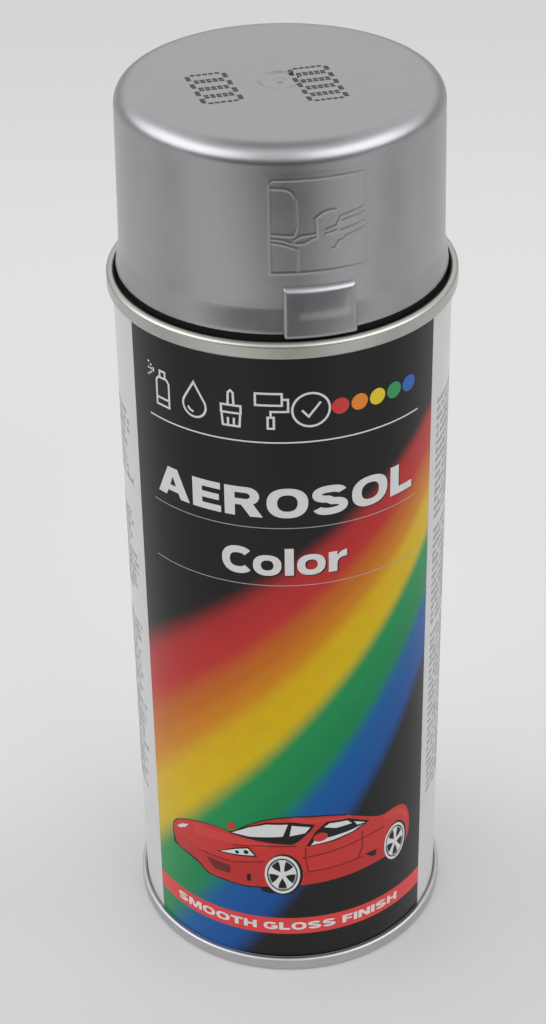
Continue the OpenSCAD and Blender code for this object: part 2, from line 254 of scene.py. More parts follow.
def stroke_loop(points, width, closed=False):
    """The outline of a pen stroke along points; for a closed stroke, its outer and its inner loop."""
    count = len(points)
    sides = ([], [])
    for i, (u, v) in enumerate(points):
        a = points[i - 1] if closed or i else points[i]
        b = points[(i + 1) % count] if closed or i < count - 1 else points[i]
        d_in = Vector((u - a[0], v - a[1])).normalized()
        d_out = Vector((b[0] - u, b[1] - v)).normalized()
        normal = Vector((-d_in.y - d_out.y, d_in.x + d_out.x))
        normal *= width / max(normal.length_squared, 0.4) if d_in.length and d_out.length else width / 2
        sides[0].append((u + normal.x, v + normal.y))
        sides[1].append((u - normal.x, v - normal.y))
    if closed:
        return list(sides)
    return [sides[0] + sides[1][::-1]]


def moved(loops, du, dv, scale=1.0, tall=1.0):
    """Loops scaled about the origin, with heights also scaled by tall, then moved."""
    return [[(u * scale + du, v * scale * tall + dv) for u, v in loop] for loop in loops]


def oval(u, v, ru, rv, start=0, end=360, count=40):
    """Points of a full-shouldered oval, from one angle to the other."""
    fullness = 0.86
    points = []
    for i in range(count + 1):
        a = math.radians(start + (end - start) * i / count)
        c, s = math.cos(a), math.sin(a)
        du = ru * math.copysign(abs(c) ** fullness, c)
        points.append((u + du, v + rv * math.copysign(abs(s) ** fullness, s)))
    return points


def letters():
    """Heavy capitals and a few small letters, each as its width and its loops. Capitals are one unit high."""
    bar = 0.23
    s_line = oval(0.45, 0.715, 0.33, 0.17, 12, 262, 26) + oval(0.47, 0.285, 0.34, 0.17, 82, -168, 26)
    g_line = oval(0.5, 0.5, 0.39, 0.385, 40, 318, 34) + [(0.86, 0.24), (0.86, 0.45), (0.54, 0.45)]
    bowl = arc(0.6, 0.7, 0.3, -62, 90, 12)
    return {
        "A": (1.06, [
            [(0, 0), (0.29, 0), (0.36, 0.19), (0.7, 0.19), (0.77, 0), (1.06, 0), (0.69, 1), (0.37, 1)],
            [(0.43, 0.39), (0.63, 0.39), (0.53, 0.71)],
        ]),
        "C": (0.86, [stroke_loop(oval(0.5, 0.5, 0.38, 0.385, 42, 318, 34), 0.25)[0]]),
        "E": (0.8, [[
            (0, 0), (0.8, 0), (0.8, 0.22), (0.28, 0.22), (0.28, 0.4), (0.75, 0.4), (0.75, 0.61), (0.28, 0.61),
            (0.28, 0.78), (0.79, 0.78), (0.79, 1), (0, 1),
        ]]),
        "F": (0.76, [[
            (0, 0), (0.28, 0), (0.28, 0.37), (0.7, 0.37), (0.7, 0.59), (0.28, 0.59), (0.28, 0.78),
            (0.76, 0.78), (0.76, 1), (0, 1),
        ]]),
        "G": (0.98, [stroke_loop(g_line, bar)[0]]),
        "H": (0.92, [[
            (0, 0), (0.27, 0), (0.27, 0.39), (0.65, 0.39), (0.65, 0), (0.92, 0), (0.92, 1), (0.65, 1),
            (0.65, 0.62), (0.27, 0.62), (0.27, 1), (0, 1),
        ]]),
        "I": (0.27, [box_loop(0, 0, 0.27, 1)]),
        "L": (0.76, [[(0, 0), (0.76, 0), (0.76, 0.24), (0.28, 0.24), (0.28, 1), (0, 1)]]),
        "M": (1.16, [[
            (0, 0), (0.25, 0), (0.25, 0.62), (0.46, 0), (0.7, 0), (0.91, 0.62), (0.91, 0), (1.16, 0),
            (1.16, 1), (0.8, 1), (0.58, 0.34), (0.36, 1), (0, 1),
        ]]),
        "N": (0.94, [[
            (0, 0), (0.26, 0), (0.26, 0.57), (0.65, 0), (0.94, 0), (0.94, 1), (0.68, 1), (0.68, 0.43),
            (0.29, 1), (0, 1),
        ]]),
        "O": (1.04, [oval(0.52, 0.5, 0.52, 0.51)[:-1], oval(0.52, 0.5, 0.255, 0.285)[:-1]]),
        "R": (0.98, [
            [(0, 0), (0.27, 0), (0.27, 0.38), (0.43, 0.38), (0.66, 0), (0.98, 0)] + bowl + [(0, 1)],
            [(0.27, 0.59), (0.56, 0.59)] + arc(0.56, 0.695, 0.105, -80, 80, 6) + [(0.56, 0.8), (0.27, 0.8)],
        ]),
        "S": (0.94, [stroke_loop(s_line, 0.235)[0]]),
        "T": (0.88, [[
            (0.3, 0), (0.58, 0), (0.58, 0.77), (0.88, 0.77), (0.88, 1), (0, 1), (0, 0.77), (0.3, 0.77),
        ]]),
        "l": (0.27, [box_loop(0, 0, 0.27, 1)]),
        "o": (0.86, [oval(0.43, 0.37, 0.43, 0.385)[:-1], oval(0.43, 0.37, 0.19, 0.19)[:-1]]),
        "r": (0.58, [[
            (0, 0), (0.27, 0), (0.27, 0.34), (0.33, 0.45), (0.43, 0.5), (0.58, 0.51), (0.58, 0.755),
            (0.46, 0.74), (0.35, 0.68), (0.27, 0.58), (0.27, 0.74), (0, 0.74),
        ]]),
        " ": (0.3, []),
    }


def lettering(words, box):
    """The loops of words that fill the box (left, low, right, high)."""
    spacing = 0.1
    shapes = letters()
    loops, u = [], 0
    for letter in words:
        width, outline = shapes[letter]
        loops += moved(outline, u, 0)
        u += width + spacing
    left, low, right, high = box
    scale = (right - left) / (u - spacing)
    return moved(loops, left, low, scale, (high - low) / scale)


def wrapped(name, bm, top, material=None):
    """Wraps a flat solid on the wall, its face standing top millimetres proud of it."""
    face_z = max(v.co.z for v in bm.verts)
    us = [v.co.x for v in bm.verts]
    u = math.ceil(min(us) / SLICE) * SLICE
    while u < max(us):
        parts = bm.verts[:] + bm.edges[:] + bm.faces[:]
        bmesh.ops.bisect_plane(bm, geom=parts, plane_co=(u, 0, 0), plane_no=(1, 0, 0))
        u += SLICE
    for v in bm.verts:
        v.co = Vector(polar(v.co.x / WALL_MM, WALL_MM + top + v.co.z - face_z, v.co.y)) * MM
    bmesh.ops.recalc_face_normals(bm, faces=bm.faces)
    mesh = bpy.data.meshes.new(name)
    bm.to_mesh(mesh)
    bm.free()
    return finished(name, mesh, material, 30)


# ---------------------------------------------------------------- material helpers


def put(near, kind, inputs=None, **settings):
    """Adds a shader node to the tree that near is in. An input's value is a number, a colour or an output."""
    tree = near.id_data
    node = tree.nodes.new(kind)
    for key, value in settings.items():
        setattr(node, key, value)
    for key, value in (inputs or {}).items():
        if isinstance(value, bpy.types.NodeSocket):
            tree.links.new(value, node.inputs[key])
        else:
            node.inputs[key].default_value = value
    return node


def math_node(operation, *values):
    """The result of an operation on numbers and outputs."""
    near = next(v for v in values if isinstance(v, bpy.types.NodeSocket))
    return put(near, "ShaderNodeMath", dict(enumerate(values)), operation=operation).outputs[0]


def times(*values):
    """The product of two or more values."""
    product = values[0]
    for value in values[1:]:
        product = math_node("MULTIPLY", product, value)
    return product


def gained(share, gain):
    """1 where the share is 0, and 1 + gain where it is 1."""
    return math_node("MULTIPLY_ADD", share, gain, 1.0)


def soft_step(value, start, end):
    """Goes softly from 0 to 1 as the value goes from start to end."""
    limits = {"Value": value, "From Min": start, "From Max": end}
    return put(value, "ShaderNodeMapRange", limits, interpolation_type="SMOOTHSTEP").outputs[0]


def band(value, rise, fall):
    """1 between two soft steps, each given as (start, end) in degrees."""
    up = soft_step(value, math.radians(rise[0]), math.radians(rise[1]))
    down = soft_step(value, math.radians(fall[1]), math.radians(fall[0]))
    return times(up, down)


def split(vector):
    """The three numbers of a vector."""
    return put(vector, "ShaderNodeSeparateXYZ", {0: vector}).outputs


def ramp(value, stops):
    """A smooth colour ramp through (position, colour) stops."""
    node = put(value, "ShaderNodeValToRGB", {0: value})
    node.color_ramp.interpolation = "EASE"
    elements = node.color_ramp.elements
    while len(elements) < len(stops):
        elements.new(0.5)
    for element, (position, colour) in zip(elements, stops):
        element.position = position
        element.color = (*colour, 1)
    return node.outputs[0]


def new_material(name, **inputs):
    """A material, its main shader and its object coordinates."""
    mat = bpy.data.materials.new(name)
    mat.use_nodes = True
    shader = mat.node_tree.nodes["Principled BSDF"]
    for key, value in inputs.items():
        shader.inputs[key.replace("_", " ")].default_value = value
    place = put(shader, "ShaderNodeTexCoord").outputs["Object"]
    return mat, shader, place


def paint(shader, **links):
    """Links outputs to inputs of the shader."""
    for key, value in links.items():
        shader.id_data.links.new(value, shader.inputs[key.replace("_", " ")])


def noise(place, size, detail=2.0, stretch=(1, 1, 1)):
    """Noise with features of a size in millimetres, drawn out along an axis by stretch."""
    scaled = put(place, "ShaderNodeMapping", {"Vector": place, "Scale": [1 / s for s in stretch]}).outputs[0]
    inputs = {"Vector": scaled, "Scale": 1 / (size * MM), "Detail": detail}
    return put(place, "ShaderNodeTexNoise", inputs).outputs["Fac"]


def bump(shader, height, distance, strength=1.0):
    """Bumps the shader by a height, its full depth in millimetres."""
    inputs = {"Height": height, "Distance": distance * MM, "Strength": strength}
    paint(shader, Normal=put(shader, "ShaderNodeBump", inputs).outputs[0])


def varied(value, low, high):
    """Maps noise, which keeps near the middle, to a range."""
    inputs = {"Value": value, "From Min": 0.3, "From Max": 0.7, "To Min": low, "To Max": high}
    return put(value, "ShaderNodeMapRange", inputs).outputs[0]


def tinted(colour, factor):
    """A colour made lighter or darker by a factor."""
    if not isinstance(colour, bpy.types.NodeSocket):
        colour = (*colour, 1)
    inputs = {"Factor": 1.0, "A": colour, "B": factor}
    return put(factor, "ShaderNodeMix", inputs, data_type="RGBA", blend_type="MULTIPLY").outputs["Result"]


def round_place(place):
    """Coordinates (round the axis, height, distance from the axis), in metres at the wall."""
    x, y, z = split(place)
    angle = math_node("ARCTAN2", x, times(y, -1.0))
    around = times(angle, WALL_R)
    out = math_node("SQRT", math_node("ADD", times(x, x), times(y, y)))
    return put(place, "ShaderNodeCombineXYZ", {0: around, 1: z, 2: out}).outputs[0]


# ---------------------------------------------------------------- materials


def silver_lacquer():
    """Silver metallic lacquer on the overcap: satin, with fine flake and a slight mottle."""
    mat, shader, place = new_material("silver_lacquer", Metallic=1.0)
    flake = noise(place, 0.12, 1)
    mottle = noise(place, 9, 3)
    shade = times(varied(flake, 0.93, 1.07), varied(mottle, 0.97, 1.03))
    colour = tinted((0.383, 0.39, 0.402), shade)
    paint(shader, Base_Color=colour, Roughness=varied(mottle, 0.28, 0.34))
    bump(shader, math_node("ADD", flake, noise(place, 1.2, 2)), 0.012, 0.5)
    return mat


def moulded(name, colour, roughness=0.45, grain=0.35, translucency=0.0, specular=0.5):
    """Moulded plastic with a fine surface grain and faint flow marks."""
    mat, shader, place = new_material(name)
    flow = noise(place, 6, 3, (1, 1, 3))
    shader.inputs["Subsurface Weight"].default_value = translucency
    shader.inputs["Specular IOR Level"].default_value = specular
    shader.inputs["Subsurface Radius"].default_value = (1.2 * MM, 1.1 * MM, 0.9 * MM)
    base = tinted(colour, varied(flow, 0.95, 1.04))
    paint(shader, Base_Color=base, Roughness=varied(flow, roughness - 0.05, roughness + 0.06))
    bump(shader, noise(place, grain, 3), 0.012, 0.6)
    return mat


def drawn_metal(name, colour, roughness, coat=0.0, lines=True):
    """Rolled or drawn metal, with small dull patches and, with lines, fine lines round the axis."""
    mat, shader, place = new_material(name, Metallic=1.0, Coat_Weight=coat, Coat_Roughness=0.12)
    patches = noise(place, 3, 4)
    source = round_place(place) if lines else place
    grain = noise(source, 0.25, 3, (40, 1, 1) if lines else (1, 1, 1))
    base = tinted(colour, varied(patches, 0.97, 1.02))
    dull = varied(grain, roughness - 0.03, roughness + 0.04)
    spread = math_node("ADD", varied(patches, -0.02, 0.02), dull)
    paint(shader, Base_Color=base, Roughness=spread)
    bump(shader, grain, 0.004, 0.5)
    return mat


def varnished_material(name):
    """A new material with the gloss of print under varnish."""
    return new_material(name, Roughness=0.32, Specular_IOR_Level=0.2, Coat_Weight=0.16, Coat_Roughness=0.12)


def varnish_waves(shader, place):
    """The faint unevenness of the varnish."""
    bump(shader, noise(place, 1.6, 2), 0.004, 0.35)


def ink(name, colour):
    """One flat printing ink under varnish."""
    mat, shader, _ = varnished_material(name)
    shader.inputs["Base Color"].default_value = (*colour, 1)
    return mat


def rainbow_print():
    """Black with a rainbow fan. Its colour follows the slope from the fan's centre, at the upper right."""
    centre_u, centre_z = 112.6 * MM, 196 * MM
    black = (0.005, 0.005, 0.005)
    stops = [
        (0.775, black),
        (0.84, (0.34, 0.018, 0.018)),
        (0.89, (0.38, 0.021, 0.018)),
        (0.96, (0.42, 0.11, 0.006)),
        (1.0, (0.47, 0.16, 0.006)),
        (1.07, (0.52, 0.33, 0.0)),
        (1.14, (0.51, 0.35, 0.0)),
        (1.205, (0.006, 0.21, 0.06)),
        (1.31, (0.002, 0.175, 0.055)),
        (1.4, (0.0, 0.075, 0.26)),
        (1.5, (0.0, 0.06, 0.24)),
        (1.6, black),
    ]
    low, high = 0.7, 1.7
    mat, shader, place = varnished_material("rainbow_print")
    u, z, _ = split(round_place(place))
    down = math_node("SUBTRACT", centre_z, z)
    across = math_node("SUBTRACT", centre_u, u)
    slope = math_node("DIVIDE", down, across)
    spray = math_node("ADD", slope, varied(noise(place, 0.5, 2), -0.0025, 0.0025))
    share = math_node("DIVIDE", math_node("SUBTRACT", spray, low), high - low)
    fan = ramp(share, [((s - low) / (high - low), c) for s, c in stops])
    paint(shader, Base_Color=tinted(fan, varied(noise(place, 4, 3), 0.97, 1.03)))
    varnish_waves(shader, place)
    return mat


def can_wall():
    """The body: off-white print outside, a bare strip along the weld at the back, and gold lacquer inside."""
    weld_half, bare_half = 0.7 * MM, 2.6 * MM
    inside_r, hook_r = WALL_R - 0.08 * MM, WALL_R + 0.06 * MM
    bare_tin, weld_tin, gold = (0.62, 0.62, 0.61), (0.33, 0.32, 0.31), (0.6, 0.5, 0.3)
    mat, shader, place = varnished_material("can_wall")
    u, _, r = split(round_place(place))
    from_weld = math_node("SUBTRACT", WALL_R * math.pi, math_node("ABSOLUTE", u))
    bare = math_node("LESS_THAN", from_weld, bare_half)
    weld = math_node("LESS_THAN", from_weld, weld_half)
    inside = math_node("LESS_THAN", r, inside_r)
    hook = math_node("GREATER_THAN", r, hook_r)
    metal = math_node("MAXIMUM", math_node("MAXIMUM", bare, inside), hook)
    colour = tinted((0.5, 0.5, 0.505), varied(noise(place, 5, 4), 0.97, 1.02))
    for mask, metal_colour in ((bare, bare_tin), (weld, weld_tin), (inside, gold)):
        inputs = {"Factor": mask, "A": colour, "B": (*metal_colour, 1)}
        colour = put(mask, "ShaderNodeMix", inputs, data_type="RGBA").outputs["Result"]
    paint(shader, Base_Color=colour, Metallic=metal)
    varnish_waves(shader, place)
    return mat


def seen_by_camera(hidden, seen):
    """One value for what the camera sees itself and another for what only reflections and light meet."""
    direct = put(hidden, "ShaderNodeLightPath").outputs["Is Camera Ray"]
    change = math_node("SUBTRACT", seen, hidden)
    return math_node("MULTIPLY_ADD", change, direct, hidden)


def floor_shade(x, y):
    """How bright reflections see the floor. It falls into shade in front of the can."""
    middle_x, bow, darkest = 0.06, 0.3, 0.05
    off_middle = math_node("ABSOLUTE", math_node("SUBTRACT", x, middle_x))
    bowed = math_node("MULTIPLY_ADD", off_middle, bow, y)
    lit = soft_step(bowed, -0.52, -0.27)
    near = gained(soft_step(y, -0.13, -0.2), 0.52)
    patch = soft_step(y, -0.12, -0.3)
    for start, end in ((-0.12, 0.0), (0.2, 0.1)):
        patch = times(patch, soft_step(x, start, end))
    aside = gained(soft_step(math_node("ABSOLUTE", x), 0.16, 0.5), -0.13)
    shade = times(lit, near, gained(patch, -0.3), aside)
    return math_node("MULTIPLY_ADD", shade, 1 - darkest, darkest)


def floor_paper():
    """Pale matt paper. Its brightness is painted to change a little from front to back, as the light on it
    falls off, and painted lighter close to the can, where the can's shadow falls.
    """
    paper, falloff_start = 0.635, -0.2
    mat, shader, place = new_material("floor_paper", Roughness=0.9, Specular_IOR_Level=0.1)
    x, y, _ = split(place)
    shade = seen_by_camera(floor_shade(x, y), 1.0)
    reach = put(place, "ShaderNodeVectorMath", {0: place}, operation="LENGTH").outputs["Value"]
    # Painted light: close to the can the paper is painted up to 6 percent lighter, against the can's own
    # shadow.
    close = gained(soft_step(reach, 0.2, 0.04), 0.06)
    # Painted light and shade: this ramp from front to back stands for how the light on the floor falls off.
    falloff_greys = [(0.08, 0.78), (0.18, 0.885), (0.24, 1.04), (0.42, 1.01), (0.8, 0.86)]
    painted_falloff = ramp(math_node("SUBTRACT", y, falloff_start), [(at, (grey,) * 3) for at, grey in falloff_greys])
    paint(shader, Base_Color=tinted(painted_falloff, times(shade, close, paper)))
    return mat


# ---------------------------------------------------------------- overcap


def cap_radius(z):
    """The overcap's outside radius on its side, at a height."""
    edge_z = CAP_TOP_Z - CAP_EDGE_R
    share = (z - CAP_FLARE_Z) / (edge_z - CAP_FLARE_Z)
    return CAP_SIDE_R + (CAP_TOP_R - CAP_SIDE_R) * min(max(share, 0), 1)


def cap_outside():
    """The lacquered outline, from the edge of the foot to the middle of the top."""
    edge_z = CAP_TOP_Z - CAP_EDGE_R
    edge_x = CAP_TOP_R - CAP_EDGE_R
    break_h = 0.14
    path = arc(CAP_FOOT_R - 0.3, CAP_FOOT_Z + 0.3, 0.3, -90, 0, 6)
    path += line(path[-1], (CAP_SIDE_R + break_h * 0.15, CAP_FLARE_Z - break_h), 6)
    path += line(path[-1], (CAP_SIDE_R, CAP_FLARE_Z + break_h), 2)
    path += line(path[-1], (CAP_TOP_R, edge_z - 0.2), 14)
    path += arc(edge_x, edge_z, CAP_EDGE_R, 0, 90, 22)
    path += line(path[-1], (6.5, CAP_TOP_Z), 26)
    path += line(path[-1], (0, CAP_TOP_Z), 26)
    return path


def cap_inside():
    """The bare outline, from the middle of the roof down the side and round the plug to the foot."""
    edge_z = CAP_TOP_Z - CAP_EDGE_R
    edge_x = CAP_TOP_R - CAP_EDGE_R
    plug_in = CAP_PLUG_R - CAP_PLUG_T
    snap_r = CAP_SNAP_R - CAP_PLUG_R + 0.5
    path = [(0, CAP_TOP_Z - CAP_WALL)]
    path += line(path[-1], (edge_x, CAP_TOP_Z - CAP_WALL), 8)
    path += arc(edge_x, edge_z, CAP_EDGE_R - CAP_WALL, 90, 0, 12)[1:]
    path += line(path[-1], (CAP_SIDE_R - CAP_WALL, CAP_FLARE_Z), 6)
    path += line(path[-1], (plug_in, CAP_FOOT_Z - 0.5), 4)
    path += line(path[-1], (plug_in, CAP_PLUG_Z + 0.3), 3)
    path += arc(plug_in + 0.3, CAP_PLUG_Z + 0.3, 0.3, 180, 270, 5)
    path += arc(CAP_PLUG_R - 0.4, CAP_PLUG_Z + 0.4, 0.4, -90, 0, 6)
    path += arc(CAP_PLUG_R - 0.5, CAP_SNAP_Z, snap_r, -60, 60, 12)
    path += line((CAP_PLUG_R, CAP_SNAP_Z + 0.6), (CAP_PLUG_R, CAP_FOOT_Z - 0.15), 4)
    path += arc(CAP_PLUG_R + 0.12, CAP_FOOT_Z - 0.12, 0.12, 180, 90, 4)
    return path


def cap_relief(v):
    """The top is slightly dished, with the gate's round pad and its nub near the middle."""
    dish, gate_depth = 0.3, 0.3
    x, y, z = v
    if z < CAP_TOP_Z - 0.01:
        return v
    r = math.hypot(x, y)
    share = min(r / (CAP_TOP_R - CAP_EDGE_R), 1)
    z -= dish * (1 - share * share)
    z -= gate_depth * smooth((4.2 - r) / 0.6)
    z += gate_depth * smooth((1.3 - r) / 0.6)
    return (x, y, z)


def smooth(t):
    """A soft step from 0 to 1."""
    t = min(max(t, 0), 1)
    return t * t * (3 - 2 * t)


def cap_shell(silver, black):
    """The overcap's shell: one closed lathe, lacquered outside and near-black inside."""
    outside, inside = cap_outside(), cap_inside()
    obj = lathe("overcap_shell", outside + inside, CAP_TURN, cap_relief, silver)
    obj.data.materials.append(black)
    lacquered = (len(outside) - 1) * CAP_TURN
    for face in obj.data.polygons:
        face.material_index = 0 if face.index < lacquered else 1
    return obj


def cap_ribs(black):
    """The ribs inside the overcap, rooted in its side and roof."""
    count, span, reach, root = 8, 1.8, 1.5, 0.4
    foot = CAP_FOOT_Z + 1.5
    inner = CAP_TOP_R - CAP_WALL - reach
    edge_z = CAP_TOP_Z - CAP_EDGE_R
    outline = [(inner + 0.3, foot), (CAP_SIDE_R - CAP_WALL + root, foot)]
    outline += arc(CAP_TOP_R - CAP_EDGE_R, edge_z, CAP_EDGE_R - CAP_WALL + root, 0, 75, 8)
    outline += [(inner, CAP_TOP_Z - CAP_WALL + root), (inner, foot + 0.3)]
    verts, faces = [], []
    for i in range(count):
        middle = 360 * (i + 0.5) / count
        sides = []
        for angle in (middle + span / 2, middle - span / 2):
            a = math.radians(angle)
            sides.append([(r * math.cos(a), r * math.sin(a), z) for r, z in outline])
        prism(verts, faces, *sides)
    return mesh_object("overcap_ribs", verts, faces, black)


def edge_steps(half, fine):
    """Positions from -half to half, close together near the ends."""
    near = [-half + d for d in fine]
    inner = near[-1]
    count = max(2, round(-2 * inner / 0.3))
    middle = [inner - 2 * inner * i / count for i in range(1, count)]
    return near + middle + [-x for x in reversed(near)]


def round_corner(x, y, half_w, half_h, r):
    """Moves a point of a rectangle into the same rectangle with round corners."""
    a = (abs(x) - half_w + r) / r
    b = (abs(y) - half_h + r) / r
    if a <= 0 or b <= 0:
        return x, y
    px = half_w - r + r * a * math.sqrt(1 - b * b / 2)
    py = half_h - r + r * b * math.sqrt(1 - a * a / 2)
    return math.copysign(px, x), math.copysign(py, y)


def rim_distance(x, y, half_w, half_h, r):
    """Distance of a point from the outline of a rectangle with round corners."""
    a, b = abs(x) - half_w + r, abs(y) - half_h + r
    if a > 0 and b > 0:
        return r - math.hypot(a, b)
    return r - max(a, b)


def edge_drop(d, r):
    """How far a rounded edge of radius r has fallen, d away from the outline."""
    return r - math.sqrt(max(r * r - (r - d) ** 2, 0)) if d < r else 0


def tab_height(x, y, d):
    """How far the tab's face stands off its flat, d away from its outline: round edges and a low grip."""
    grip, edge_r, top_edge_r = 0.12, 0.9, 1.2
    from_top = (TAB_HIGH - TAB_LOW) / 2 - y
    grip *= smooth((4.4 - y) / 3.6) * smooth((y + 1.4) / 2.0) * smooth((5.6 - abs(x - 0.4)) / 1.8)
    return grip - max(edge_drop(d, edge_r), edge_drop(from_top, top_edge_r))


def cap_tab(silver):
    """The lifting tab: a plate with round corners and edges that leans in a little towards its top."""
    half_w, half_h, corner = TAB_W / 2, (TAB_HIGH - TAB_LOW) / 2, 0.7
    centre_z = (TAB_HIGH + TAB_LOW) / 2
    face_r, lean, back_r = TAB_R - 0.5, 0.12, CAP_SIDE_R - CAP_WALL / 3
    fine = [0, 0.01, 0.03, 0.07, 0.13, 0.2, 0.3, 0.4, 0.5, 0.65, 0.8, 1.0, 1.25, 1.5]
    xs, ys = edge_steps(half_w, fine), edge_steps(half_h, fine)

    def point(x, y, r):
        return polar(math.radians(TAB_ANGLE) + x / TAB_R, r, centre_z + y)

    front, back = [], []
    for y in ys:
        for x in xs:
            px, py = round_corner(x, y, half_w, half_h, corner)
            d = rim_distance(px, py, half_w, half_h, corner)
            front.append(point(px, py, face_r - lean * py + tab_height(px, py, d)))
            back.append(point(px, py, back_r))
    return plate("overcap_tab", front, back, len(xs), silver)


def lift_drawing():
    """Lines that show how to prise the cap off: a frame, the cap and can in section, a hand and a lever."""
    half_w, high, low, r = 8.85, 9.4, -8.4, 0.9
    frame_line = [(-half_w, low)] + arc(-half_w + r, high - r, r, 180, 90, 6)
    frame_line += [(half_w, high), (half_w, low), (-half_w, low)]
    cap_line = [(-8.8, 7.9), (-7.2, 7.8)] + arc(-6.7, 5.3, 2.5, 80, 0, 8)
    cap_line += [(-4.1, 0.4), (-4.6, -1.2), (-8.8, -0.9)]
    rim_line = [(-8.8, -1.7), (-6.6, -2.0), (-5.0, -2.6)]
    seam_line = [(-8.8, -2.4), (-6.6, -2.8), (-5.0, -3.4), (-4.2, -3.7)]
    wall_line = [(-4.0, -3.7), (-4.0, low)]
    lever = [(-0.6, -1.1), (-3.4, -1.3), (-4.7, -2.0), (-4.4, -2.8), (-2.6, -2.7), (-1.4, -2.0), (-0.6, -1.8)]
    knuckle = [(-0.5, -1.8), (-0.6, 1.2), (-0.8, 1.8), (0.1, 2.5), (1.1, 3.0), (2.2, 3.2), (3.0, 3.1)]
    finger = [(1.2, -0.5), (3.2, 0.0), (3.6, 0.9), (4.0, 1.7), (6.0, 2.1), (8.8, 2.8)]
    grips = [
        [(4.4, 0.8), (6.6, 1.2), (8.8, 1.7)],
        [(4.2, -1.0), (6.0, -0.7), (8.8, 0.0)],
        [(4.9, -2.3), (6.0, -2.0), (8.8, -1.2)],
        [(1.2, -1.3), (3.2, -0.9)],
    ]
    thumb = [(2.4, -4.2), (3.0, -4.2), (3.3, -3.5), (3.6, -3.0), (4.6, -2.8)]
    return [frame_line, cap_line, rim_line, seam_line, wall_line, lever, knuckle, finger, thumb] + grips


def segment_distance(u, v, a, b):
    """Distance of a point from the line between two others."""
    du, dv = b[0] - a[0], b[1] - a[1]
    t = min(max(((u - a[0]) * du + (v - a[1]) * dv) / (du * du + dv * dv), 0), 1)
    return math.hypot(u - a[0] - t * du, v - a[1] - t * dv)


def ridges(lines, box, step, reach):
    """How high the lines stand at each point of a grid over the box: 1 on a line and 0 at its reach."""
    steepness = 1.15
    left, low, right, high = box
    cols, rows = round((right - left) / step), round((high - low) / step)
    height = [[0.0] * (cols + 1) for _ in range(rows + 1)]
    for points in lines:
        for a, b in zip(points, points[1:]):
            i0 = math.floor((min(a[0], b[0]) - reach - left) / step)
            i1 = math.ceil((max(a[0], b[0]) + reach - left) / step)
            j0 = math.floor((min(a[1], b[1]) - reach - low) / step)
            j1 = math.ceil((max(a[1], b[1]) + reach - low) / step)
            for j in range(max(j0, 0), min(j1, rows) + 1):
                for i in range(max(i0, 0), min(i1, cols) + 1):
                    d = segment_distance(left + i * step, low + j * step, a, b)
                    height[j][i] = max(height[j][i], smooth(steepness * (1 - d / reach)))
    return height


def cap_pictogram(silver):
    """The drawing, raised on a skin that lies on the side of the overcap over its tab."""
    box, step = (-10.4, -9.6, 10.4, 11.0), 0.13
    fade, lift, depth, raised, half_line = 1.0, 0.006, 0.5, 0.05, 0.36
    left, low, right, high = box
    centre_u, centre_z = math.radians(TAB_ANGLE) * CAP_SIDE_R, CAP_FLARE_Z + 15.4

    def point(u, v, out):
        z = centre_z + v
        return polar((centre_u + u) / CAP_SIDE_R, cap_radius(z) + out, z)

    front, back = [], []
    ridge = ridges(lift_drawing(), box, step, half_line)
    for j, row in enumerate(ridge):
        for i, height in enumerate(row):
            u, v = left + i * step, low + j * step
            inward = min(u - left, right - u, v - low, high - v)
            front.append(point(u, v, lift * (2 * smooth(inward / fade) - 1) + raised * height))
            back.append(point(u, v, -depth))
    return plate("overcap_pictogram", front, back, len(ridge[0]), silver)


def dot_zeros(count, width, height, gap):
    """Places of the dots of a row of zeros, each five dots wide and seven high."""
    zero = ["01110"] + ["10001"] * 5 + ["01110"]
    places = []
    for n in range(count):
        for row, bits in enumerate(zero):
            for col, bit in enumerate(bits):
                if bit == "1":
                    places.append((n * (width + gap) + col * width / 4, row * height / 6))
    return places


def cap_ink_marks(material):
    """Two rows of dot-printed zeros on top of the overcap, printed twice with a small shift."""
    rows = [(4, 2.7, 7.0, -17.4, 1.6, -74), (5, 2.4, 6.8, 1.6, 4.6, -76)]
    gap, second_print = 0.9, 0.42
    dot_w, dot_h, dot_depth, sides, lift = 0.42, 0.28, 0.15, 10, 0.02
    rng = random.Random(7)
    verts, faces = [], []
    for count, width, height, x0, y0, turn in rows:
        a = math.radians(turn)
        c, s = math.cos(a), math.sin(a)
        for px, py in dot_zeros(count, width, height, gap):
            for shift in (0, second_print):
                qx = px + rng.uniform(-0.04, 0.04)
                qy = py + shift + rng.uniform(-0.03, 0.03)
                cx, cy = x0 + qx * c - qy * s, y0 + qx * s + qy * c
                top = cap_relief((cx, cy, CAP_TOP_Z))[2] + lift
                dot = [(u * dot_w, v * dot_h) for u, v in circle_loop(0, 0, 1, sides)]
                dot = [(cx + u * c - v * s, cy + u * s + v * c) for u, v in dot]
                prism(verts, faces, [(*p, top - dot_depth) for p in dot], [(*p, top) for p in dot])
    return mesh_object("overcap_ink_marks", verts, faces, material)


# ---------------------------------------------------------------- print on the can


def decal(name, loops, top, material):
    """One printed area, its face standing top millimetres proud of the wall."""
    return wrapped(name, shape(name, loops), top, material)


def shadowed_words(name, loops, material, shadow_material):
    """Letters with a thin black shadow low on their right."""
    shadow = decal(f"{name}_shadow", moved(loops, 0.28, -0.22), MARK_TOP, shadow_material)
    return [shadow, decal(name, loops, MARK_TOP + INK_STEP, material)]


def front_panel(material):
    """The black panel with its rainbow."""
    loop = box_loop(PANEL_LEFT, PANEL_LOW, PANEL_RIGHT, PANEL_HIGH)
    return decal("print_front_panel", [loop], PANEL_TOP, material)


def rules(bright, faint):
    """The three thin rules round the front."""
    half = 50.5 * MM_PER_DEGREE
    items = [(134, 0.3, bright), (115, 0.16, faint), (101.7, 0.16, faint)]
    parts = []
    for i, (v, width, material) in enumerate(items, 1):
        parts.append(decal(f"print_rule_{i}", [box_loop(-half, v, half, v + width)], MARK_TOP, material))
    return parts


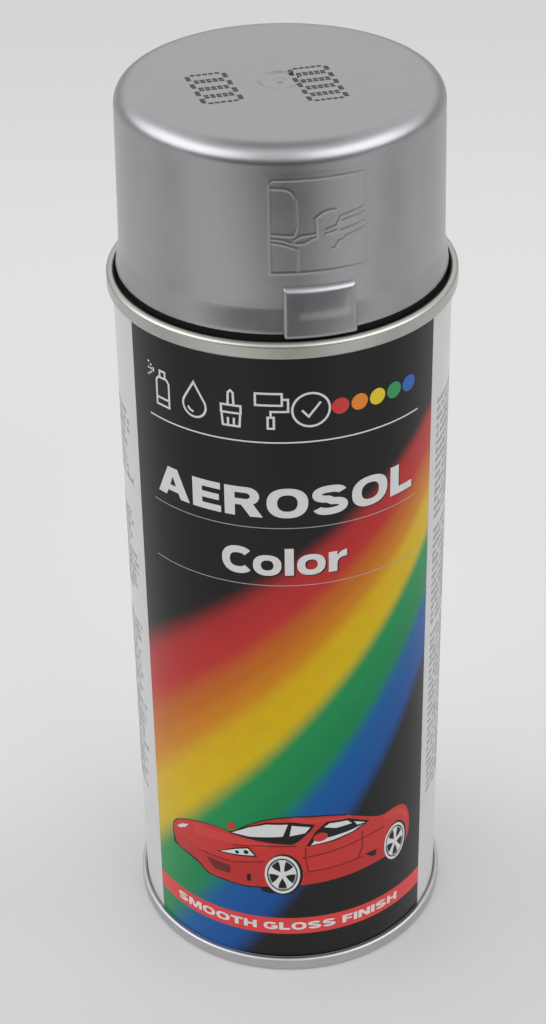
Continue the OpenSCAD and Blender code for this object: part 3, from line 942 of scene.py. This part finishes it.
def outline_icons():
    """Thin outlined pictograms, as loops about the origin and 8 millimetres high."""
    w = 0.46
    can_side = [(-1.7, -4), (1.7, -4), (1.7, 1.4), (1.1, 2.2), (-1.1, 2.2), (-1.7, 1.4)]
    can = [
        stroke_loop(can_side, w, closed=True),
        stroke_loop([(-0.7, 2.3), (-0.7, 3.7), (0.7, 3.7), (0.7, 2.3)], w),
        stroke_loop([(-1.7, -2.4), (1.7, -2.4)], w),
    ]
    for away in (0.4, 1.2, 2):
        can += [[circle_loop(-2.2 - 0.9 * away, 3.2 + 0.7 * k * away, 0.26, 10)] for k in (-1, 0, 1)]
    drop = [stroke_loop([(0, 4)] + arc(0, -1.2, 2.6, 32, -212, 26), w, closed=True)]
    drop += [stroke_loop(arc(0, -1.2, 1.5, 200, 262, 8), w)]
    brush = [
        stroke_loop([(-0.6, 0.7), (-0.5, 3.4), (0, 3.9), (0.5, 3.4), (0.6, 0.7)], w),
        stroke_loop([(-2, 0.6), (2, 0.6), (2, -1.1), (-2, -1.1)], w, closed=True),
        stroke_loop([(-1.9, -1.4), (-1.7, -4), (1.7, -4), (1.9, -1.4)], w),
        stroke_loop([(-0.6, -2.2), (-0.6, -4)], w),
        stroke_loop([(0.6, -2.2), (0.6, -4)], w),
    ]
    roller = [
        stroke_loop([(-3, 1.2), (2.2, 1.2), (2.2, 3.8), (-3, 3.8)], w, closed=True),
        stroke_loop([(2.3, 2.5), (3.4, 2.5), (3.4, -0.2), (0, -0.2), (0, -1.4)], w),
        stroke_loop([(-0.6, -1.5), (0.6, -1.5), (0.6, -4), (-0.6, -4)], w, closed=True),
    ]
    tick = [
        stroke_loop(circle_loop(0, 0, 3.7, 48), w, closed=True),
        stroke_loop([(-1.8, 0), (-0.5, -1.5), (1.9, 1.6)], w),
    ]
    return [can, drop, brush, roller, tick]


def icon_row(white):
    """The row of pictograms at the top left of the front."""
    left, right, middle = -25.0, 5.0, 141.0
    icons = outline_icons()
    step = (right - left) / (len(icons) - 1)
    parts = []
    for i, icon in enumerate(icons):
        for k, loops in enumerate(icon):
            solid = shape("icon", moved(loops, left + i * step, middle, 0.95))
            parts.append(wrapped(f"icon_{i}_{k}", solid, MARK_TOP))
    return joined("print_icons", parts, white)


def colour_dots(inks):
    """A dot of each colour at the top right of the front."""
    left, step, middle, r = 10.6, 3.85, 141.0, 1.7
    parts = []
    for i, (name, material) in enumerate(inks):
        loops = [circle_loop(left + i * step, middle, r)]
        parts.append(decal(f"print_dot_{name}", loops, MARK_TOP, material))
    return parts


def car_parts():
    """A plain coupe seen from its front corner and facing left, as (name, ink, layer, loops). Millimetres on
    the wall: round from the front, and up."""
    body = [
        (-28.3, 30.6), (-27.6, 32.9), (-24.8, 35.0), (-20.6, 36.6), (-16.4, 37.3), (-12.6, 37.1),
        (-9.4, 39.4), (-5.2, 41.7), (-0.6, 42.7), (5.4, 42.6), (10.2, 41.9), (14.6, 40.4), (18.2, 38.7),
        (21.2, 37.7), (24.8, 37.9), (27.4, 36.8), (28.9, 34.2), (29.4, 30.4), (28.9, 27.2), (27.4, 25.4),
        (21.6, 25.4), (12.0, 24.6), (2.6, 23.9), (-5.6, 23.3), (-9.6, 22.9), (-14.4, 23.2), (-18.6, 23.6),
        (-20.6, 25.2), (-24.0, 26.3), (-26.9, 26.8), (-28.0, 28.4),
    ]
    parts = [
        ("outline", "black", 0, [(0.5 + (u - 0.5) * 1.012, 32.5 + (v - 32.5) * 1.03) for u, v in body]),
        ("ground", "black", 0, [
            (-6.4, 22.0), (-5.9, 24.2), (1.8, 24.2), (1.0, 22.4), (-1.4, 21.4), (-4.0, 21.5),
        ]),
        ("underside", "black", 0, [
            (-28.7, 30.4), (-28.4, 26.5), (-24.0, 25.8), (-20.8, 24.8), (-18.8, 23.1), (-14.4, 22.8),
            (-9.6, 22.5), (-5.6, 22.9), (-5.6, 24.0), (-14.0, 24.4), (-26.0, 28.0),
        ]),
        ("body", "red", 1, body),
        ("bumper", "shaded_red", 2, [
            (-28.0, 30.2), (-20.0, 28.9), (-12.0, 28.8), (-5.6, 30.4), (-5.6, 23.5), (-9.6, 23.1),
            (-14.4, 23.4), (-18.4, 23.8), (-20.4, 25.4), (-23.9, 26.5), (-26.8, 27.0), (-27.8, 28.5),
        ]),
        ("flank", "shaded_red", 2, [
            (3.0, 27.6), (12.0, 28.3), (21.4, 29.0), (21.5, 25.6), (12.0, 24.8), (2.8, 24.1),
        ]),
        ("hood", "light_red", 2, [
            (-22.4, 34.4), (-15.6, 36.2), (-8.0, 35.7), (-4.4, 34.9), (-10.0, 34.4), (-16.0, 33.8),
        ]),
        ("roof", "light_red", 2, [
            (0.0, 42.0), (5.0, 42.1), (10.0, 41.5), (13.2, 40.6), (8.6, 41.2), (5.2, 41.0),
        ]),
        ("fender", "light_red", 2, [
            (21.6, 36.8), (25.0, 37.0), (27.2, 35.7), (28.2, 33.0), (26.6, 34.8), (24.0, 35.6),
        ]),
        ("screen", "black", 3, [
            (-13.2, 36.8), (-9.0, 39.6), (-5.0, 41.3), (0.8, 41.6), (5.3, 40.5), (4.4, 39.0), (1.8, 36.2),
            (0.4, 35.4), (-5.0, 35.8),
        ]),
        ("screen_left", "white", 4, [
            (-12.4, 37.1), (-8.7, 39.4), (-4.9, 40.8), (-0.4, 41.0), (-1.5, 37.7), (-8.6, 36.9),
        ]),
        ("screen_right", "white", 4, [(0.4, 40.7), (4.3, 40.0), (3.2, 38.5), (-0.1, 37.8)]),
        ("window", "black", 3, [
            (3.4, 34.7), (5.4, 38.6), (7.8, 40.8), (12.6, 40.5), (17.6, 37.9), (14.8, 36.6), (9.6, 35.2),
        ]),
        ("window_high", "white", 4, [(7.2, 39.5), (8.4, 40.3), (12.3, 40.0), (13.4, 38.9), (9.8, 38.7)]),
        ("window_rear", "white", 4, [(13.9, 39.2), (16.6, 37.9), (14.6, 38.0)]),
        ("window_low", "white", 4, [
            (4.4, 35.0), (5.2, 36.2), (8.6, 36.5), (12.6, 37.0), (16.0, 37.6), (13.6, 36.6), (9.2, 35.6),
        ]),
        ("near_mirror", "red", 5, [(5.0, 36.3), (5.4, 37.7), (7.4, 37.9), (7.9, 36.6)]),
        ("far_mirror", "red", 4, [(-13.4, 38.0), (-13.1, 39.5), (-12.0, 39.5), (-11.7, 38.2)]),
        ("lamp_line", "black", 3, [(-16.2, 30.6), (-11.6, 33.1), (-8.8, 33.9), (-7.0, 31.5), (-11.0, 30.9)]),
        ("lamp", "white", 4, [(-15.4, 30.9), (-11.6, 32.7), (-9.0, 33.5), (-7.6, 31.8), (-11.0, 31.3)]),
        ("lamp_inner", "black", 5, circle_loop(-11.4, 31.9, 0.45, 14)),
        ("lamp_outer", "black", 5, circle_loop(-9.4, 32.4, 0.55, 14)),
        ("far_lamp", "white", 4, [(-27.0, 32.0), (-25.6, 33.4), (-23.4, 34.5), (-24.4, 33.2), (-26.0, 32.1)]),
        ("intake", "dark_red", 3, [(-18.8, 27.9), (-13.2, 27.6), (-13.0, 25.4), (-16.8, 25.2)]),
        ("fog_slot", "black", 3, [(-9.4, 26.2), (-8.5, 26.4), (-8.5, 24.4), (-9.3, 24.3)]),
        ("side_slot", "black", 3, [(16.6, 28.9), (19.6, 28.9), (19.2, 27.3), (18.0, 27.7)]),
    ]
    creases = {
        "bumper_line": [(-20.0, 28.9), (-12.6, 28.8), (-5.4, 30.5)],
        "hood_line": [(-12.4, 33.6), (-6.4, 34.7), (1.4, 35.0)],
        "flank_line": [(2.4, 31.5), (10.0, 32.6), (17.0, 33.8), (21.4, 34.2)],
        "sill_line": [(3.6, 27.5), (10.0, 28.0), (16.0, 28.6)],
        "door_front": [(3.3, 34.4), (3.2, 31.4), (3.9, 27.4)],
        "door_rear": [(15.8, 35.6), (16.0, 31.4), (14.8, 28.4)],
    }
    crease_w = 0.26
    areas = [(name, colour, layer, [loop]) for name, colour, layer, loop in parts]
    areas += [(name, "dark_red", 3, stroke_loop(points, crease_w)) for name, points in creases.items()]
    return areas + wheel_parts("front", -1.7, 27.0, 3.75, 5.3) + wheel_parts("rear", 24.7, 28.3, 3.1, 4.9)


def wheel_parts(name, u, v, half_w, half_h):
    """A wheel seen at a slant: its arch, its pale tyre wall, its rim with five spokes, and its hub."""

    def slanted(loops, du=0.0):
        return [[(u + du + x * half_w, v + y * half_h) for x, y in loop] for loop in loops]

    def ring(outer, inner):
        return [circle_loop(0, 0, outer), circle_loop(0, 0, inner)]

    spoke = [(0.1, -0.1), (0.45, -0.12), (0.78, -0.22), (0.78, 0.22), (0.45, 0.12), (0.1, 0.1)]
    parts = [
        (f"{name}_arch", "black", 3, slanted([circle_loop(0, 0, 1.08)], 0.3)),
        (f"{name}_tyre", "white", 4, slanted(ring(1.0, 0.87))),
        (f"{name}_rim", "grey", 4, slanted(ring(0.8, 0.72))),
        (f"{name}_hub", "white", 4, slanted([circle_loop(0, 0, 0.17, 16)])),
    ]
    for k in range(5):
        a = 2 * math.pi * (k + 0.25) / 5
        c, s = math.cos(a), math.sin(a)
        turned = [(x * c - y * s, x * s + y * c) for x, y in spoke]
        parts.append((f"{name}_spoke_{k}", "white", 5, slanted([turned])))
    return parts


def car(inks):
    """The car, printed low on the front. The areas of one ink and layer become one piece."""
    rounded = {"outline", "body", "hood", "roof", "fender", "near_mirror", "far_mirror"}
    groups = {}
    for name, colour, layer, loops in car_parts():
        solid = shape(name, loops, name in rounded)
        part = wrapped(f"car_{name}", solid, MARK_TOP + layer * INK_STEP)
        groups.setdefault((layer, colour), []).append(part)
    pieces = []
    for (layer, colour), parts in sorted(groups.items()):
        pieces.append(joined(f"print_car_{colour}_{layer}", parts, inks[colour]))
    return pieces


def small_print(grey):
    """Columns of marks the size of small print on the side panels. They are blocks, and spell nothing."""
    rng = random.Random(11)
    blocks_left = [(128, 110), (104, 83), (77, 30)]
    blocks_right = [(131, 104), (101, 78), (75, 32)]
    columns = [
        (-116, -65, blocks_left),
        (-172, -124, blocks_left),
        (64.5, 116, blocks_right),
        (124, 172, blocks_right),
    ]
    pitch, gap, word_gap, ragged, last_line_short = 1.9, 0.22, 0.75, 5, 9
    widths, heights = [0.28, 0.5, 0.62, 0.7], [0.95, 0.95, 0.95, 1.35]
    verts, faces = [], []
    for left, right, blocks in columns:
        for top, bottom in blocks:
            v = top
            while v > bottom:
                u = left * MM_PER_DEGREE
                stop = right * MM_PER_DEGREE - rng.uniform(0, ragged)
                if v - pitch <= bottom:
                    stop -= last_line_short
                while u < stop:
                    for _ in range(rng.randint(2, 9)):
                        width = rng.choice(widths)
                        if u + width > stop:
                            break
                        mark(verts, faces, u, v, width, rng.choice(heights))
                        u += width + gap
                    u += word_gap
                v -= pitch
    return mesh_object("print_small_marks", verts, faces, grey)


def mark(verts, faces, u, v, width, height):
    """One block of ink on the wall, with its lower left corner at (u, v)."""
    layers = []
    for r in (WALL_MM - 0.03, WALL_MM + 0.02):
        corners = box_loop(u, v, u + width, v + height)
        layers.append([polar(x / WALL_MM, r, z) for x, z in corners])
    prism(verts, faces, *layers)


def print_the_can():
    """All the print. Every piece rides on the can."""
    white = ink("ink_white", (0.55, 0.55, 0.55))
    inks = {
        "white": white,
        "black": ink("ink_black", (0.005, 0.005, 0.005)),
        "grey": ink("ink_grey", (0.28, 0.28, 0.29)),
        "red": ink("ink_car_red", (0.435, 0.027, 0.024)),
        "shaded_red": ink("ink_car_shaded_red", (0.385, 0.022, 0.02)),
        "dark_red": ink("ink_car_dark_red", (0.12, 0.012, 0.012)),
        "light_red": ink("ink_car_light_red", (0.48, 0.04, 0.034)),
    }
    banner_red = ink("ink_banner_red", (0.55, 0.042, 0.042))
    faint = ink("ink_rule_grey", (0.3, 0.3, 0.3))
    dots = [
        ("red", ink("ink_red", (0.46, 0.035, 0.03))),
        ("orange", ink("ink_orange", (0.6, 0.19, 0.02))),
        ("yellow", ink("ink_yellow", (0.62, 0.45, 0.02))),
        ("green", ink("ink_green", (0.03, 0.24, 0.08))),
        ("blue", ink("ink_blue", (0.02, 0.1, 0.36))),
    ]
    banner = box_loop(PANEL_LEFT, 9.9, PANEL_RIGHT, 14.5)
    title = lettering("AEROSOL", (-27.4, 117.5, 27.4, 124))
    subtitle = lettering("Color", (-12.6, 104.2, 12.0, 110.4))
    banner_words = lettering("SMOOTH GLOSS FINISH", (-27.6, 11.1, 25.6, 13.2))
    pieces = [front_panel(rainbow_print()), icon_row(white), small_print(inks["grey"])]
    pieces += rules(white, faint)
    pieces += colour_dots(dots)
    pieces.append(decal("print_banner", [banner], MARK_TOP, banner_red))
    pieces += shadowed_words("print_title", title, white, inks["black"])
    pieces += shadowed_words("print_subtitle", subtitle, white, inks["black"])
    pieces.append(decal("print_banner_words", banner_words, MARK_TOP + INK_STEP, white))
    pieces += car(inks)
    for piece in pieces:
        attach(piece, "can")


# ---------------------------------------------------------------- valve spring


def valve_spring(steel):
    """A round wire along a helix with a closed coil at each end."""
    low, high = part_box("valve_spring")
    wire_r, coil_gap, coils, steps, sides = 0.26, 0.02, 7, 48, 12
    coil_r = high.x / MM - wire_r
    foot, top = low.z / MM + wire_r, high.z / MM - wire_r
    closed = 2 * wire_r + coil_gap
    pitch = (top - foot - 2 * closed) / (coils - 2)
    knots = [0, closed] + [closed + pitch * i for i in range(1, coils - 1)] + [top - foot]
    verts, faces = [], []
    for i in range(coils * steps + 1):
        turns = i / steps
        k = min(int(turns), coils - 1)
        z = foot + knots[k] + (knots[k + 1] - knots[k]) * (turns - k)
        a = 2 * math.pi * turns
        for s in range(sides):
            b = 2 * math.pi * s / sides
            r = coil_r + wire_r * math.cos(b)
            verts.append((r * math.cos(a), r * math.sin(a), z + wire_r * math.sin(b)))
    for i in range(coils * steps):
        for s in range(sides):
            n = (s + 1) % sides
            faces.append((i * sides + s, i * sides + n, (i + 1) * sides + n, (i + 1) * sides + s))
    faces.append(list(reversed(range(sides))))
    faces.append([coils * steps * sides + s for s in range(sides)])
    obj = mesh_object("valve_spring_coil", verts, faces, steel, 60)
    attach(obj, "can")
    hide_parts("valve_spring")
    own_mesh(obj)


# ---------------------------------------------------------------- stage


def floor():
    """A wide sheet that the can stands on."""
    half, drop = 2.5, 0.02 * MM
    mesh = bpy.data.meshes.new("floor")
    corners = [(x, y, 0) for x, y in box_loop(-half, -half, half, half)]
    mesh.from_pydata(corners, [], [(0, 1, 2, 3)])
    mesh.materials.append(floor_paper())
    obj = linked("floor", mesh)
    obj.location.z = -drop


def studio():
    """A pale room. Behind the camera it has a bright window on each side and a dark figure between them, over
    a dark foreground. Angles are in degrees: to the side from the front, and up from level."""
    down_to_nadir, strength, camera_sees = (-91, -90), 0.56, 1.25
    room_light, room_glow, window_gain = 0.75, 0.9, 3.2
    world = bpy.data.worlds.new("studio")
    bpy.context.scene.world = world
    world.use_nodes = True
    tree = world.node_tree
    x, y, z = split(put(tree, "ShaderNodeTexCoord").outputs["Generated"])
    rise = math_node("ARCSINE", z)
    side = math_node("ARCTAN2", x, times(y, -1))
    room = math_node("MULTIPLY_ADD", band(rise, (5, 20), (55, 80)), room_glow, room_light)
    foreground = times(band(side, (-125, -75), (75, 125)), band(rise, down_to_nadir, (3, 13)))
    figure = times(band(side, (-32, -14), (10, 26)), band(rise, down_to_nadir, (36, 52)), 0.65)
    dark = math_node("MAXIMUM", foreground, figure)
    between = band(side, (-50, -26), (12, 44))
    window = times(
        band(side, (-134, -92), (74, 120)),
        band(rise, (3, 13), (38, 52)),
        gained(between, -0.42),
    )
    light = math_node("MULTIPLY_ADD", window, window_gain, room)
    light = seen_by_camera(times(light, gained(dark, -0.8)), camera_sees)
    back = tree.nodes["Background"]
    tree.links.new(light, back.inputs["Color"])
    back.inputs["Strength"].default_value = strength


def camera():
    """The camera looks down on the can from the front."""
    pitch, yaw, roll = math.radians(33.24), math.radians(0.388), math.radians(-0.994)
    place, lens, sensor_w = (0, -0.3822, 0.3479), 77.7, 36
    forward = Vector((-math.sin(yaw) * math.cos(pitch), math.cos(yaw) * math.cos(pitch), -math.sin(pitch)))
    right = Vector((math.cos(yaw), math.sin(yaw), 0))
    up = right.cross(forward)
    tilted_right = math.cos(roll) * right + math.sin(roll) * up
    tilted_up = math.cos(roll) * up - math.sin(roll) * right
    data = bpy.data.cameras.new("camera")
    data.lens = lens
    data.sensor_width = sensor_w
    data.clip_start = 0.01
    obj = linked("camera", data)
    turn = Matrix((tilted_right, tilted_up, -forward)).transposed()
    obj.matrix_world = Matrix.Translation(place) @ turn.to_4x4()
    bpy.context.scene.camera = obj
    bpy.context.scene.view_settings.view_transform = "Standard"


# ---------------------------------------------------------------- the whole object


def finish_cad_nodes(steel):
    """Materials for the pieces that keep their CAD shape."""
    rubber = moulded("gasket_rubber", (0.02, 0.02, 0.02), 0.6)
    compound = moulded("seam_compound", (0.5, 0.42, 0.25), 0.6)
    finishes = {
        "can_body": can_wall(),
        "top_cone": drawn_metal("cone_tinplate", (0.48, 0.48, 0.445), 0.3),
        "base_dome": drawn_metal("base_tinplate", (0.53, 0.53, 0.55), 0.4),
        "top_seam_compound": compound,
        "base_seam_compound": compound,
        "mounting_cup": drawn_metal("cup_tinplate", (0.7, 0.67, 0.58), 0.2, 0.3),
        "cup_gasket": rubber,
        "stem_gasket": rubber,
        "valve_housing": moulded("natural_plastic", (0.74, 0.73, 0.68), 0.35, 0.4, 0.2),
        "valve_stem": moulded("stem_plastic", (0.78, 0.78, 0.75), 0.35, 0.3, 0.1),
        "actuator_button": moulded("button_plastic", (0.76, 0.76, 0.74), 0.4, 0.35, 0.1),
        "nozzle_insert": moulded("insert_plastic", (0.55, 0.03, 0.02), 0.35),
        "dip_tube": moulded("tube_plastic", (0.7, 0.7, 0.66), 0.3, 0.5, 0.3),
        "mixing_ball_a": steel,
        "mixing_ball_b": steel,
    }
    for node, material in finishes.items():
        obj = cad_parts[node]
        if not obj.material_slots:
            obj.data.materials.append(material)
        for slot in obj.material_slots:
            slot.material = material


def overcap():
    """The overcap, in the pieces that stand for its CAD node."""
    silver = silver_lacquer()
    # The near-black inside shows only in the gap under the cap's foot, and keeps that gap nearly black.
    black = moulded("cap_moulding", (0.006, 0.006, 0.006), 0.6, specular=0.2)
    marks = ink("ink_dots", (0.012, 0.012, 0.014))
    shell = cap_shell(silver, black)
    for piece in (shell, cap_ribs(black), cap_tab(silver), cap_pictogram(silver), cap_ink_marks(marks)):
        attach(piece, "cap")
    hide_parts("overcap")


steel = drawn_metal("ball_steel", (0.72, 0.73, 0.74), 0.12, lines=False)
finish_cad_nodes(steel)
print_the_can()
overcap()
valve_spring(steel)
floor()
studio()
camera()
